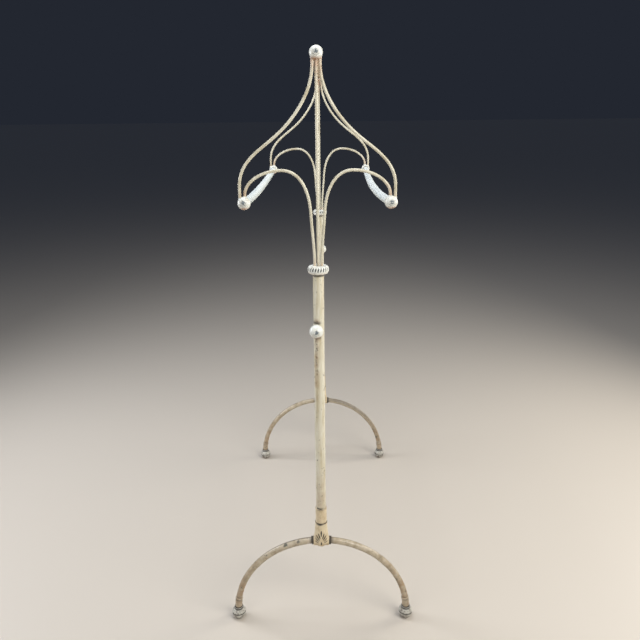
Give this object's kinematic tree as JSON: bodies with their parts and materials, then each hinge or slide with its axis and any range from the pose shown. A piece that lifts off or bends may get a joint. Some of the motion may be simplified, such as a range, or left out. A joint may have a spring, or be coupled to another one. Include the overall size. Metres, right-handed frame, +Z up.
{
  "type": "valet stand",
  "caption": "Painted iron valet stand with arched end frames on bow feet, joined by hanging rails, two of them bowed wooden shoulder rails that turn.",
  "frame": {"origin": "on the floor, at the middle of the stand's bounding box", "axes": "+Z up, X across an end frame, Y along the rails with the front frame at -Y"},
  "size_m": [0.3808, 0.6752, 1.104],
  "materials": {
    "cream_paint": "old cream paint, satin, chipped and grimed",
    "cast_paint": "thick old off-white paint on castings, grime in the hollows",
    "bow_paint": "old cream paint worn grey",
    "foot_iron": "worn grey cast iron with traces of paint",
    "white_wood": "turned wood, brushed with cool white paint",
    "rusty_paint": "cream paint with rust breaking through",
    "rivet_iron": "old ivory paint over peened iron heads, rubbed through to blue-grey iron"
  },
  "bodies": {
    "stand": {"front_post": "cream_paint", "front_post_ferrule": "cream_paint", "front_foot_tee": "cast_paint", "front_foot_bow": "bow_paint", "front_tee_rivet": "rivet_iron", "front_collar": "cast_paint", "front_centre_rod": "cream_paint", "front_top_ball": "cast_paint", "front_mid_ball": "cast_paint", "front_top_rivet": "rivet_iron", "front_mid_rivet": "rivet_iron", "front_foot_ball_left": "foot_iron", "front_foot_ball_right": "foot_iron", "front_foot_sleeve_left": "bow_paint", "front_foot_sleeve_right": "bow_paint", "front_arch_rod_left": "cream_paint", "front_arch_rod_right": "cream_paint", "front_ogee_rod_left": "cream_paint", "front_ogee_rod_right": "cream_paint", "front_shoulder_ball_left": "cast_paint", "front_shoulder_ball_right": "cast_paint", "front_shoulder_rivet_left": "rivet_iron", "front_shoulder_rivet_right": "rivet_iron", "rear_post": "cream_paint", "rear_post_ferrule": "cream_paint", "rear_foot_tee": "cast_paint", "rear_foot_bow": "bow_paint", "rear_tee_rivet": "rivet_iron", "rear_collar": "cast_paint", "rear_centre_rod": "cream_paint", "rear_top_ball": "cast_paint", "rear_mid_ball": "cast_paint", "rear_top_rivet": "rivet_iron", "rear_mid_rivet": "rivet_iron", "rear_foot_ball_left": "foot_iron", "rear_foot_ball_right": "foot_iron", "rear_foot_sleeve_left": "bow_paint", "rear_foot_sleeve_right": "bow_paint", "rear_arch_rod_left": "cream_paint", "rear_arch_rod_right": "cream_paint", "rear_ogee_rod_left": "cream_paint", "rear_ogee_rod_right": "cream_paint", "rear_shoulder_ball_left": "cast_paint", "rear_shoulder_ball_right": "cast_paint", "rear_shoulder_rivet_left": "rivet_iron", "rear_shoulder_rivet_right": "rivet_iron", "top_rail": "rusty_paint", "mid_rail": "cream_paint"},
    "left_side_rail": {"side_rail_left": "white_wood"},
    "right_side_rail": {"side_rail_right": "white_wood"}
  },
  "joints": [
    {"name": "left_rail_turn", "type": "hinge", "parent": "stand", "child": "left_side_rail", "pos_m": [-0.1202, 0, 0.8693], "axis": [0, 1, 0], "continuous": true},
    {"name": "right_rail_turn", "type": "hinge", "parent": "stand", "child": "right_side_rail", "pos_m": [0.1202, 0, 0.8693], "axis": [0, 1, 0], "continuous": true}
  ]
}
